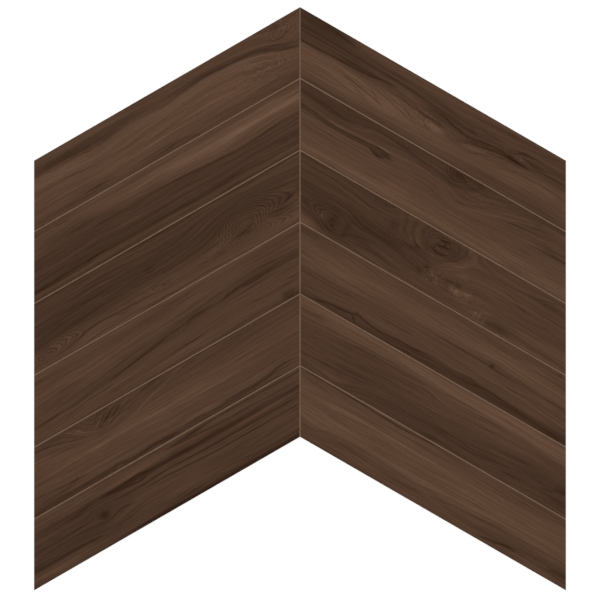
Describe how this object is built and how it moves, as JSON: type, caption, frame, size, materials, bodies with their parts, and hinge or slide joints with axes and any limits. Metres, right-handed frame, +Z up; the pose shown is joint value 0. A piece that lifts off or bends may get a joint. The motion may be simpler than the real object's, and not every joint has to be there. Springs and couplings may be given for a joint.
{
  "type": "chevron porcelain mosaic sheet",
  "caption": "Flat chevron-shaped sheet of mitred wood-look porcelain strips in mirrored columns, with filled joints and a mesh back, for bedding on a floor or wall.",
  "frame": {"origin": "middle of the sheet's bounding box on the underside of its backing mesh, on the line of the spine", "axes": "+X to the right across the spine, +Y along the spine towards the sheet's point, +Z up out of the printed face"},
  "size_m": [0.3802, 0.417, 0.0099],
  "materials": {
    "wood_look_porcelain": "matte",
    "joint_filler": "matte",
    "backing_mesh": "matte"
  },
  "bodies": {
    "root": {"strip_left_1": "wood_look_porcelain", "strip_right_1": "wood_look_porcelain", "strip_left_2": "wood_look_porcelain", "strip_right_2": "wood_look_porcelain", "strip_left_3": "wood_look_porcelain", "strip_right_3": "wood_look_porcelain", "strip_left_4": "wood_look_porcelain", "strip_right_4": "wood_look_porcelain", "strip_left_5": "wood_look_porcelain", "strip_right_5": "wood_look_porcelain", "strip_left_6": "wood_look_porcelain", "strip_right_6": "wood_look_porcelain", "joint_filler": "joint_filler", "backing_mesh": "backing_mesh"}
  },
  "joints": []
}
